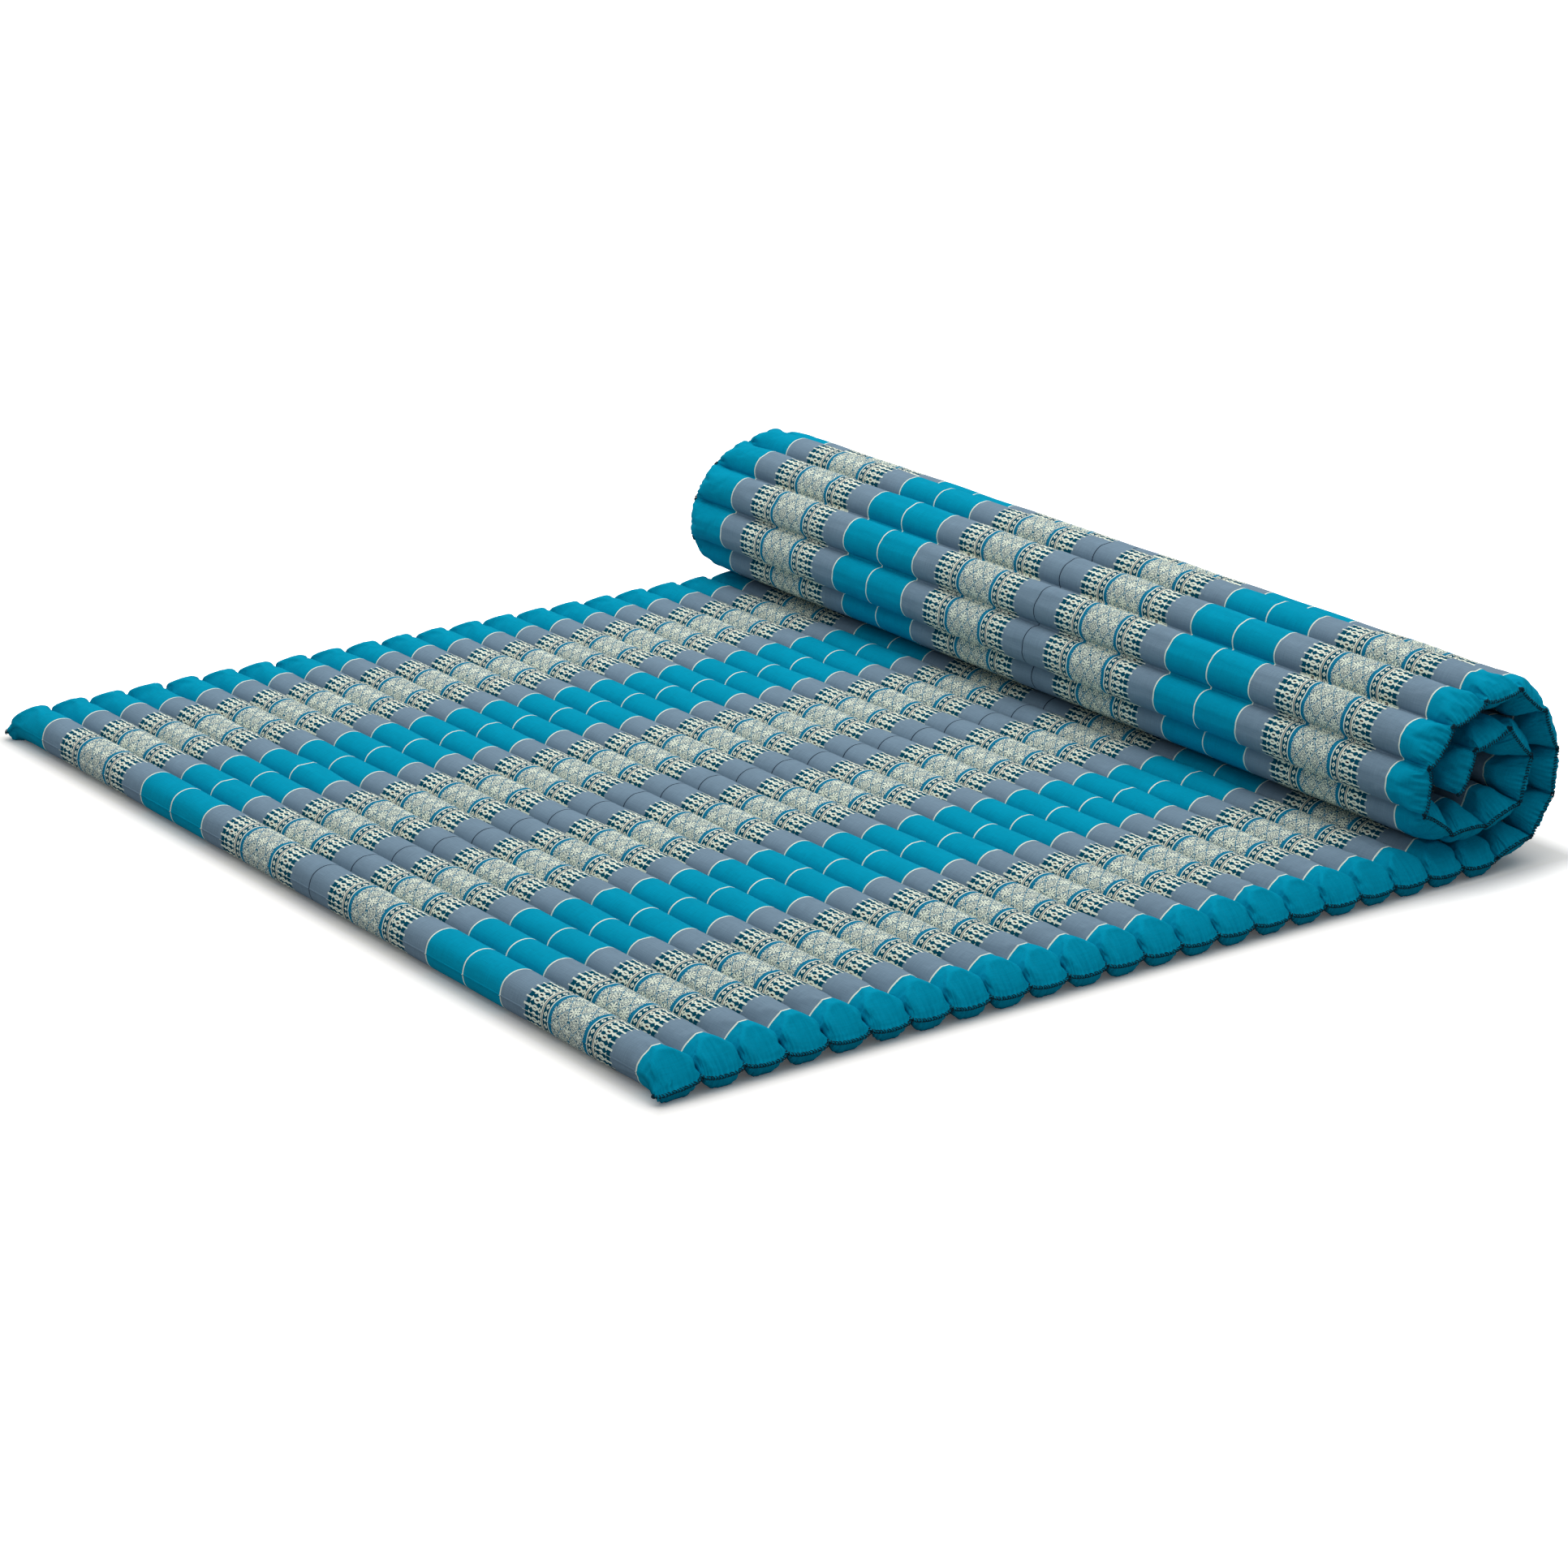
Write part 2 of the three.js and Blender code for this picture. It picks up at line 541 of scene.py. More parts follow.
@dataclass(frozen=True)
class SewingThread:
    """Thick dark cotton thread of the end stitches."""

    colour: Colour = linear(0, 40, 54)
    light: Colour = linear(6, 78, 98)
    fineness: float = 900.0
    relief: float = 0.3 * MM

    def material(self) -> Material:
        """Build the thread's material, with its twisted strands.

        Returns:
            The material.
        """
        build = MaterialBuilder("sewing_thread", roughness=0.7, sheen=0.1)
        strands = build.noise(build.object_position(), self.fineness, 2.0)
        colour = build.mix((strands - 0.35) * 1.6, self.colour, self.light)
        return build.finish(colour, strands, self.relief)


@dataclass(frozen=True)
class TagTape:
    """White satin-woven tape of the blank tag."""

    colour: Colour = linear(240, 240, 236)
    shade: Colour = linear(214, 216, 216)
    rib_step: float = 9.0  # as an angle for each millimetre
    relief: float = 0.12 * MM

    def material(self) -> Material:
        """Build the tape's material, with its fine ribs.

        Returns:
            The material.
        """
        build = MaterialBuilder("tag_tape", roughness=0.55, sheen=0.1)
        along, across = build.cloth_position()
        ribs = (across * self.rib_step).sine() * 0.5 + 0.5
        mottle = build.noise((along, across), 0.6, 3.0)
        colour = build.mix(ribs * mottle, self.colour, self.shade)
        return build.finish(colour, ribs * 0.6 + mottle * 0.4, self.relief)


# ---- where the tubes are ----


class Run(Enum):
    """Which part of the mattress a tube belongs to."""

    FLAT = "flat"
    ROLL = "roll"


@dataclass
class Place:
    """Where one tube lies: from its start seam to its end seam, in the X-Z plane."""

    number: int
    run: Run
    start: Array
    end: Array

    @property
    def body(self) -> str:
        """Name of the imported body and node."""
        return f"tube_{self.number:02d}"

    @property
    def along(self) -> Array:
        """Unit direction from the start seam to the end seam."""
        return unit(self.end - self.start)

    @property
    def up(self) -> Array:
        """Unit direction out of the top cloth, which is the inner side in the roll."""
        x, z = self.along
        return np.array([-z, x])

    def world(self, local: Array) -> Array:
        """Turn points (across, along and out of the tube's top cloth) into the row frame."""
        flat = (self.start + self.end) / 2 + local[:, 0:1] * self.along + local[:, 2:3] * self.up
        return np.stack([flat[:, 0], local[:, 1], flat[:, 1]], axis=1)


@dataclass
class Layout:
    """The places of all tubes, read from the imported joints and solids."""

    joints: Sequence[dict]
    nodes: dict
    places: list[Place] = field(default_factory=list)
    pitch: float = 0.0
    half_height: float = 0.0
    half_length: float = 0.0

    def read(self) -> "Layout":
        """Fill in the places and sizes.

        Returns:
            This layout.
        """
        named = sorted(self.joints, key=lambda joint: joint["name"])
        seams = [np.array([joint["pos_m"][0], joint["pos_m"][2]]) for joint in named]
        self.pitch = float(np.linalg.norm(seams[1] - seams[0]))
        low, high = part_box("tube_02")
        self.half_height = (high.z - low.z) / 2
        self.half_length = (high.y - low.y) / 2
        last_solid = self.nodes[f"tube_{len(seams) + 1:02d}"].data
        corners = np.array([(v.co.x, v.co.z) for v in last_solid.vertices])
        farthest = corners[np.argmax(np.linalg.norm(corners - seams[-1], axis=1))]
        edges = [seams[0] * 2 - seams[1], *seams, farthest]
        for number, (start, end) in enumerate(zip(edges, edges[1:]), start=1):
            level = abs(end[1] - start[1]) < MM
            flat = level and start[1] < self.half_height * 1.1
            self.places.append(Place(number, Run.FLAT if flat else Run.ROLL, start, end))
        return self


# ---- padded tubes ----


@dataclass(frozen=True)
class SewnCloth:
    """How the cloth of a tube end behaves while it is sewn shut and filled."""

    pressure: float = 30.0
    mass: float = 0.01
    stiffness: float = 40.0
    bending: float = 0.12
    damping: float = 2.0
    quality: int = 8
    sewn_by: int = 14  # frames until the loose edge has been drawn together
    frames: int = 26
    cap: float = 4.5 * MM  # farthest that a point may move from the plain form

    def _bag(self, loose: Array, sewn: Array, faces: list) -> Object:
        """Make the loose bag, which a keyed shape draws to its sewn form.

        Args:
            loose: points of the unsewn form.
            sewn: the same points with the seams in place.
            faces: the faces between them.

        Returns:
            The bag.
        """
        mesh = bpy.data.meshes.new("bag")
        mesh.from_pydata(loose.tolist(), [], faces)
        bag = linked("bag", mesh)
        bag.shape_key_add(name="loose")
        drawn = bag.shape_key_add(name="sewn")
        drawn.data.foreach_set("co", sewn.astype(np.float32).ravel())
        for value, moment in ((0.0, 1), (1.0, 1 + self.sewn_by)):
            drawn.value = value
            drawn.keyframe_insert("value", frame=moment)
        return bag

    def _simulate(self, bag: Object, held: list[int]) -> Array:
        """Let the bag fill out while its seams are held.

        Args:
            bag: the bag, which is removed afterwards.
            held: numbers of the points on its seams.

        Returns:
            Its settled points.
        """
        pins = bag.vertex_groups.new(name="seams")
        pins.add(held, 1.0, "REPLACE")
        cloth = bag.modifiers.new("cloth", "CLOTH")
        settings = cloth.settings
        settings.quality = self.quality
        settings.mass = self.mass
        settings.tension_stiffness = settings.compression_stiffness = self.stiffness
        settings.shear_stiffness = self.stiffness / 4
        settings.bending_stiffness = self.bending
        settings.air_damping = self.damping
        settings.vertex_group_mass = pins.name
        settings.use_pressure = True
        settings.uniform_pressure_force = self.pressure
        settings.effector_weights.gravity = 0.0
        cloth.collision_settings.use_collision = False
        cloth.point_cache.frame_start = 1
        cloth.point_cache.frame_end = self.frames
        scene = bpy.context.scene
        for moment in range(1, self.frames + 1):
            scene.frame_set(moment)
        result = bag.evaluated_get(bpy.context.evaluated_depsgraph_get()).data
        settled = np.zeros(len(result.vertices) * 3)
        result.vertices.foreach_get("co", settled)
        mesh = bag.data
        action = mesh.shape_keys.animation_data.action
        bpy.data.objects.remove(bag)
        bpy.data.meshes.remove(mesh)
        bpy.data.actions.remove(action)
        scene.frame_set(1)
        return settled.reshape(-1, 3)

    def settle(self, loose: Array, sewn: Array) -> Array:
        """Draw a loose bag end together along its seams and let it fill out.

        Args:
            loose: the unsewn form, as rings of points from the end seam inwards.
            sewn: the same rings with the seams where they belong.

        Returns:
            The settled rings.
        """
        rows, count = loose.shape[:2]
        half = count // 2
        faces, _, used = loft_faces(rows, count, shut_last=False)
        bag = self._bag(loose.reshape(-1, 3)[used], sewn.reshape(-1, 3)[used], faces.tolist())
        held = np.zeros((rows, count), bool)
        held[[0, -1]] = True
        held[:, [0, half]] = True
        rings = np.zeros((rows * count, 3))
        rings[used] = self._simulate(bag, np.nonzero(held.ravel()[used])[0].tolist())
        rings = rings.reshape(rows, count, 3)
        rings[0, half + 1 :] = rings[0, 1:half][::-1]
        return rings


def loft_faces(rows: int, count: int, shut_last: bool) -> tuple[Array, Array, Array]:
    """Faces between rings of points, whose first ring is pressed flat and sewn shut.

    Args:
        rows: how many rings.
        count: points in a ring, which starts at one side seam and runs over the top.
        shut_last: whether the last ring is sewn shut too.

    Returns:
        Faces as numbers of used points, corners as (ring, step), and the used points.
    """
    index = np.arange(rows * count).reshape(rows, count)
    kept = np.minimum(np.arange(count), (-np.arange(count)) % count)
    index[0] = index[0][kept]
    if shut_last:
        index[-1] = index[-1][kept]
    ring, step = np.meshgrid(np.arange(rows - 1), np.arange(count), indexing="ij")
    ring, step = ring.ravel(), step.ravel()
    after = (step + 1) % count
    rings = np.stack([ring, ring + 1, ring + 1, ring], axis=1)
    steps = np.stack([step, step, after, after], axis=1)
    used, faces = np.unique(index[rings, steps], return_inverse=True)
    return faces.reshape(-1, 4), np.stack([rings, steps], axis=2).reshape(-1, 2), used


@dataclass
class PaddedTube:
    """Builds the cover of one tube as a closed, puffed cloth form with gathered ends."""

    layout: Layout
    cloth: Material
    sewing: SewnCloth = SewnCloth()
    around: int = 108
    end_rings: int = 46
    middle_rings: int = 46
    end_zone: float = 112 * MM
    variants: int = 2  # simulated ends for each run, which are also used mirrored

    # the section across a tube
    side_gap: float = 0.2 * MM
    floor_press: float = 0.5 * MM
    flank_flat: float = 78.5  # degrees
    flank_roll: float = 56.5
    flank_under: float = 86.0
    blend_power: int = 14  # how tightly the oval turns into its flanks
    round_width: float = 1.3  # widens the oval's normals

    # how an end closes
    lip: float = 2.0 * MM
    lip_half: float = 1.5 * MM
    lip_round: float = 0.6 * MM
    taper: float = 36 * MM
    under_taper: float = 9 * MM  # below the end seams of the flat tubes
    roll_taper: float = 34 * MM
    roll_outer_taper: float = 26 * MM
    dome_power: float = 2.2
    wedge_power: float = 1.7
    roll_wedge: float = 0.5  # share of the plainer, wedge-like closing
    droop: float = 0.06  # the crest sinks a little towards the end
    droop_reach: float = 30 * MM
    shoulder: float = 0.75  # how square the section becomes towards the end
    shoulder_reach: float = 34 * MM
    shoulder_height: float = 0.92
    full_corner: float = 0.52  # how much blunter the sides of an end are than its middle
    sag: float = 9.0 * MM  # the end seams of the flat tubes hang this far below the middle
    sag_reach: float = 20 * MM
    knot_sag: float = 5.0 * MM
    knot_reach: float = 13 * MM
    ear: float = 4.0 * MM  # the knots of the roll stand out this far
    inset_flat: float = 7.0 * MM  # the seams' ends are drawn inwards
    inset_roll: float = 2.5 * MM
    inset_reach: float = 16 * MM

    # the folds, with ranges of their width, reach and depth in millimetres
    gather: float = 0.24  # spare cloth along an end seam
    gather_reach: float = 17 * MM
    cloth_excess: float = 1.35  # length of an end seam's cloth in pitches
    seam_folds: tuple = ((1.0, 1.7), (8, 26), (0.5, 1.35))
    knot_folds: tuple = ((1.6, 2.4), (14, 30), (0.6, 1.3))
    fold_gap: tuple = (3.6, 7.4)
    first_fold: tuple = (2, 6)
    knot_fold_place: tuple = (4, 9)
    knot_fold_slant: tuple = (0.2, 0.75)
    slant: float = 0.14

    # the edge of tube 1, which no other tube holds
    edge_full: float = 0.35
    edge_full_reach: float = 60 * MM
    edge_out: float = 4 * MM
    edge_down: float = 8 * MM
    edge_reach: float = 24 * MM

    # the cloth's own coordinates
    take_up: float = 2.4 * MM  # cloth that a seam uses
    cloth_shift: float = 23 * MM  # the cloth is sewn nearer to the front end
    drift: tuple = ((2.2 * MM, 0.55), (1.3 * MM, 1.7))
    sway: float = 0.32
    ends: dict = field(default_factory=dict)

    def flank(self, run: Run) -> float:
        """Angle of the top's flanks in radians."""
        return math.radians(self.flank_flat if run is Run.FLAT else self.flank_roll)

    def section(self, run: Run) -> tuple[Array, float]:
        """Outline across one tube, evenly spaced, from its end seam over the top.

        Args:
            run: part of the mattress.

        Returns:
            Points (across, up) in metres and the length of cloth over one side.
        """
        reach = self.layout.pitch / 2 - self.side_gap
        half = self.layout.half_height
        turn = np.linspace(0.0, math.pi, 721)
        cos, sin = np.cos(turn), np.sin(turn)
        power = self.blend_power
        under = math.radians(self.flank_under)
        sides = []
        for flank, sign, height in (
            (self.flank(run), 1.0, half),
            (under, -1.0, half + self.floor_press),
        ):
            oval = 1 / np.hypot(cos / reach, sin / height)
            wedge = reach / (np.abs(cos) + sin / math.tan(flank))
            radius = (oval**-power + wedge**-power) ** (-1 / power)
            outline = np.stack([radius * cos, sign * radius * sin], axis=1)
            outline[0], outline[-1] = (reach, 0.0), (-reach, 0.0)
            outline[:, 1] = np.clip(outline[:, 1], -half, half)
            steps = np.hypot(*np.diff(outline, axis=0).T)
            length = np.concatenate([[0.0], np.cumsum(steps)])
            even = np.linspace(0.0, length[-1], self.around // 2 + 1)
            side = np.stack([np.interp(even, length, outline[:, k]) for k in (0, 1)], axis=1)
            sides.append((side, length[-1]))
        top, bottom = sides[0][0], sides[1][0][::-1]
        return np.concatenate([top, bottom[1:-1]]), sides[0][1]

    @property
    def inward(self) -> Array:
        """Distance of the end rings from the end seam, close together at the seam."""
        share = np.linspace(0.0, 1.0, self.end_rings)[:, None]
        return self.end_zone * (0.40 * share + 0.60 * share**2.4)

    def corner_inset(self, run: Run, off: Array) -> Array:
        """How far the ends of the side seams are drawn inwards."""
        inset = self.inset_flat if run is Run.FLAT else self.inset_roll
        return inset * off**12 * fading(self.inward, self.inset_reach)

    def closing(self, run: Run, off: Array, up: Array) -> Array:
        """Height of an end as a share of the full section.

        Args:
            run: part of the mattress.
            off: distance from the tube's middle, 1 at its side seams.
            up: height on the full section.

        Returns:
            The share for each ring and step.
        """
        inward = self.inward
        edge = np.sqrt(np.clip(inward / self.lip_round, 0, 1)) * self.lip_half
        sides = ((self.roll_taper, self.roll_wedge), (self.roll_outer_taper, 0.0))
        if run is Run.FLAT:
            top_taper = self.taper * (1 - self.full_corner * off**2)
            sides = ((top_taper, 0.0), (self.under_taper, 0.0))
        heights = []
        for taper, wedge in sides:
            left = 1 - np.clip((inward - self.lip) / (taper - self.lip), 0, 1)
            rise = (1 - wedge) * np.sqrt(1 - left**self.dome_power)
            rise = rise + wedge * (1 - left**self.wedge_power)
            rise = rise * (1 - self.droop * fading(inward, self.droop_reach))
            heights.append(np.maximum(rise, edge / self.layout.half_height))
        height = np.where(up >= 0, *heights)
        height[0] = 0.0
        return height

    def plain_end(self, run: Run) -> Array:
        """One end without any folds.

        Args:
            run: part of the mattress.

        Returns:
            Rings of points as (across, inwards, up), from the end seam inwards.
        """
        outline, _ = self.section(run)
        across, up = outline[None, :, 0], outline[None, :, 1]
        inward = self.inward
        half_height = self.layout.half_height
        off = np.abs(across) / (self.layout.pitch / 2)
        square = self.shoulder_height * half_height * np.sqrt(np.clip(1 - off**8, 0, 1))
        square = square * np.sign(up) - up
        square = square * fading(inward, self.shoulder_reach, 3) * self.shoulder
        if run is Run.FLAT:
            square = np.where(up > 0, square, 0.0)
        z = (up + square) * self.closing(run, off, up)
        if run is Run.FLAT:
            hang = self.sag * (1 - off**2) * fading(inward, self.sag_reach)
            hang = hang + self.knot_sag * off**2 * fading(inward, self.knot_reach)
            held_up = np.where(z > 0, 0.5, -0.4) * z / half_height
            z = z - hang * (1 - np.clip(held_up, 0, 1))
        y = inward + self.corner_inset(run, off)
        return np.stack([np.broadcast_to(across, z.shape), y, z], axis=2)

    def furrows(self, rng: np.random.Generator) -> Array:
        """Folds that run inwards from the end seam, where sewing gathers the cloth.

        Args:
            rng: source of the seeded unevenness.

        Returns:
            Depth at each point of the end's rings, in metres.
        """
        inward = self.inward
        half = self.around // 2
        width = self.cloth_excess * self.layout.pitch
        depth = np.zeros((self.end_rings, self.around))
        for columns in (np.arange(1, half), np.arange(self.around - 1, half, -1)):
            way = np.linspace(0, width, half + 1)[1:-1][None, :]
            folds = []
            at = rng.uniform(*self.first_fold) * MM
            while at < width - 3 * MM:
                slant = rng.normal(0, self.slant)
                folds.append((at, slant, *(rng.uniform(*span) for span in self.seam_folds)))
                at += rng.uniform(*self.fold_gap) * MM
            for knot, lean in ((0.0, 1.0), (0.0, 1.0), (width, -1.0), (width, -1.0)):
                at = knot + lean * rng.uniform(*self.knot_fold_place) * MM
                slant = lean * rng.uniform(*self.knot_fold_slant)
                folds.append((at, slant, *(rng.uniform(*span) for span in self.knot_folds)))
            for at, slant, wide, reach, deep in folds:
                off = (way - at - slant * inward) / (wide * MM)
                fade = np.clip(1 - inward / (reach * MM), 0, 1) ** 1.2
                fade = fade * np.clip(inward / (1.2 * MM), 0, 1)
                ridge = 0.4 * np.exp(-0.5 * ((np.abs(off) - 2.1) / 0.9) ** 2)
                depth[:, columns] += deep * MM * fade * (np.exp(-0.5 * off**2) - ridge)
        edge = np.sin(np.pi * np.arange(self.around) / half) ** 2
        return depth * np.clip(3 * edge, 0, 1)

    def loose_end(self, run: Run, furrows: Array) -> Array:
        """The same end before it is sewn: wider at its edge, with its corners farther out.

        Args:
            run: part of the mattress.
            furrows: where the cloth starts to fold.

        Returns:
            Rings of points as from plain_end().
        """
        loose = self.plain_end(run)
        off = np.abs(loose[:, :, 0]) / (self.layout.pitch / 2)
        loose[:, :, 0] *= 1 + self.gather * fading(self.inward, self.gather_reach)
        loose[:, :, 1] -= self.corner_inset(run, off)
        half = self.around // 2
        loose[:, 1:half, 2] -= 0.6 * furrows[:, 1:half]
        loose[:, half + 1 :, 2] += 0.6 * furrows[:, half + 1 :]
        return loose

    def softened(self, run: Run, plain: Array, furrows: Array) -> Array:
        """What sewing and filling change on an end.

        Args:
            run: part of the mattress.
            plain: the end without any folds.
            furrows: depth of its folds.

        Returns:
            The move of each point.
        """
        inward = self.inward
        cap = self.sewing.cap
        moved = self.sewing.settle(self.loose_end(run, furrows), plain) - plain
        size = np.linalg.norm(moved, axis=2, keepdims=True) + 1e-12
        moved = moved * cap * np.tanh(size / cap) / size
        to_corner = np.hypot(self.layout.pitch / 2 - np.abs(plain[:, :, 0]), inward)
        share = np.clip(to_corner / (9 * MM), 0, 1) ** 1.5
        share = share * np.clip((self.end_zone - inward) / (40 * MM), 0, 1)
        moved = moved * share[:, :, None]
        # the end seam stays the outermost line, and the sides stay in their row
        moved[:, :, 1] = np.maximum(moved[:, :, 1], -0.55 * inward)
        side = np.sign(plain[:, :, 0])
        moved[:, :, 0] = side * np.minimum(side * moved[:, :, 0], 0.5 * MM)
        around = (np.roll(moved, 1, 1) + np.roll(moved, -1, 1)) / 4 + moved / 2
        smooth = around.copy()
        smooth[1:-1] = around[1:-1] / 2 + (around[:-2] + around[2:]) / 4
        smooth[0] = 0.0
        smooth[:, [0, self.around // 2]] = 0.0
        outline, _ = self.section(run)
        out = outline / np.array([self.round_width, 1.0])
        out = out / (np.linalg.norm(out, axis=1, keepdims=True) + 1e-9)
        smooth[:, :, [0, 2]] -= furrows[:, :, None] * out[None]
        smooth[:, :, 1] += 0.8 * furrows * fading(inward, 12 * MM)
        return smooth

    def filled_ends(self, run: Run) -> list[Array]:
        """Ends with the folds that sewing and filling put into them.

        Args:
            run: part of the mattress.

        Returns:
            Rings of points for each variant.
        """
        if run not in self.ends:
            plain = self.plain_end(run)
            self.ends[run] = [plain]
            seed = 610 + (40 if run is Run.ROLL else 0)
            self.ends[run] = [
                plain + self.softened(run, plain, self.furrows(np.random.default_rng(seed + k)))
                for k in range(self.variants)
            ]
        return self.ends[run]

    def picked_end(self, run: Run, rng: np.random.Generator) -> Array:
        """One of the filled ends, mirrored or not.

        Args:
            run: part of the mattress.
            rng: source of the seeded choice.

        Returns:
            Rings of points as (across, inwards, up).
        """
        ends = self.filled_ends(run)
        rings = ends[int(rng.integers(len(ends)))].copy()
        if rng.random() < 0.5:
            half = self.around // 2
            rings = rings[:, (half - np.arange(self.around)) % self.around]
            rings[:, :, 0] *= -1
        return rings

    def shape(self, place: Place) -> tuple[Array, Array]:
        """Points of one tube's cover and the cloth's coordinates at them.

        Args:
            place: where the tube lies.

        Returns:
            Points (ring, around, xyz) in the tube's own frame, and cloth (ring, around, 2).
        """
        rng = np.random.default_rng(4100 + place.number)
        outline, cloth_width = self.section(place.run)
        half_length, half = self.layout.half_length, self.around // 2
        zone = self.inward[:, 0]
        level = np.linspace(zone[-1], 2 * half_length - zone[-1], self.middle_rings + 2)[1:-1]
        rings = np.concatenate([zone, level, 2 * half_length - zone[::-1]])
        inward = np.minimum(rings, 2 * half_length - rings)[:, None]

        front, back = (self.picked_end(place.run, rng) for _ in range(2))
        front[:, :, 1] -= half_length
        back[:, :, 1] = half_length - back[:, :, 1]
        middle = np.zeros((len(level), self.around, 3))
        middle[:, :, [0, 2]] = outline[None]
        middle[:, :, 1] = level[:, None] - half_length
        points = np.concatenate([front, middle, back[::-1]])

        v = (1 - np.arange(half + 1) / half) * cloth_width
        v = np.concatenate([v, v[::-1][1:-1]])
        along = (rings - half_length)[:, None]
        sway = sum(
            rng.normal(0, self.sway) * np.sin(along * rng.uniform(12, 46) + rng.uniform(0, 6.3))
            for _ in range(5)
        )
        swell = sway * MM * np.sin(np.pi * v / cloth_width)[None, :]
        swell = swell * np.clip(inward / self.taper, 0, 1)
        across, up = outline[:, 0] / self.round_width, outline[:, 1]
        length = np.hypot(across, up) + 1e-9
        points[:, :, 0] += swell * (across / length)[None, :]
        points[:, :, 2] += swell * (up / length)[None, :]
        self.draw_corners(place, points, inward)
        self.press(place, points)

        drift = sum(size * math.sin(place.number * step) for size, step in self.drift)
        u = np.broadcast_to(along + drift + self.cloth_shift, points.shape[:2])
        offset = (place.number - 1) * (cloth_width + self.take_up)
        return points, np.stack([u, np.broadcast_to(v[None, :] + offset, u.shape)], axis=2)

    def draw_corners(self, place: Place, points: Array, inward: Array) -> None:
        """Pull the ends of the side seams to where their knots hold them.

        Args:
            place: where the tube lies.
            points: the points, which are moved.
            inward: distance of each ring from its end seam.
        """
        off = points[:, :, 0] / (self.layout.pitch / 2)
        if place.number == 1:
            corner = np.clip(0.5 - off / 2, 0, 1) ** 2.5 * fading(inward, self.edge_reach)
            under = (off < 0) & (points[:, :, 2] < 0)
            fuller = np.abs(off) ** (1 - self.edge_full * fading(inward, self.edge_full_reach))
            points[:, :, 0] = np.where(under, -fuller * self.layout.pitch / 2, points[:, :, 0])
            points[:, :, 0] -= self.edge_out * corner
            points[:, :, 2] -= self.edge_down * corner
        if place.run is Run.FLAT:
            return
        places = self.layout.places
        for side, neighbour in ((-1.0, place.number - 2), (1.0, place.number)):
            beside = places[neighbour] if 0 <= neighbour < len(places) else place
            middle = unit(place.up + beside.up)
            weight = np.clip(off * side, 0, 1) ** 4 * fading(inward, self.knot_reach)
            points[:, :, 0] -= self.ear * weight * float(middle @ place.along)
            points[:, :, 2] -= self.ear * weight * float(middle @ place.up)

    def press(self, place: Place, points: Array) -> None:
        """Press the cloth flat where it lies on the floor or against the next tube.

        Args:
            place: where the tube lies.
            points: the points, which are moved.
        """
        up = points[:, :, 2]
        high = np.clip(up, 0, None) / math.tan(self.flank(place.run))
        low = np.clip(-up, 0, None) / math.tan(math.radians(self.flank_under + 1))
        wall = self.layout.pitch / 2 - 0.15 * MM - high - low
        points[:, :, 0] = np.minimum(points[:, :, 0], wall)
        if place.number > 1:
            points[:, :, 0] = np.maximum(points[:, :, 0], -wall)
        points[:, :, 2] = np.clip(up, -self.layout.half_height, self.layout.half_height)

    def build(self, place: Place) -> Object:
        """Make the cover of one tube.

        Args:
            place: where the tube lies.

        Returns:
            The cover, riding on its body.
        """
        points, cloth = self.shape(place)
        faces, corners, used = loft_faces(*points.shape[:2], shut_last=True)
        cover = surface(
            f"cover_{place.number:02d}",
            place.world(points.reshape(-1, 3))[used].tolist(),
            faces.tolist(),
            self.cloth,
            cloth[corners[:, 0], corners[:, 1]],
        )
        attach(cover, place.body)
        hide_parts(place.body)
        return cover


# ---- stitches ----


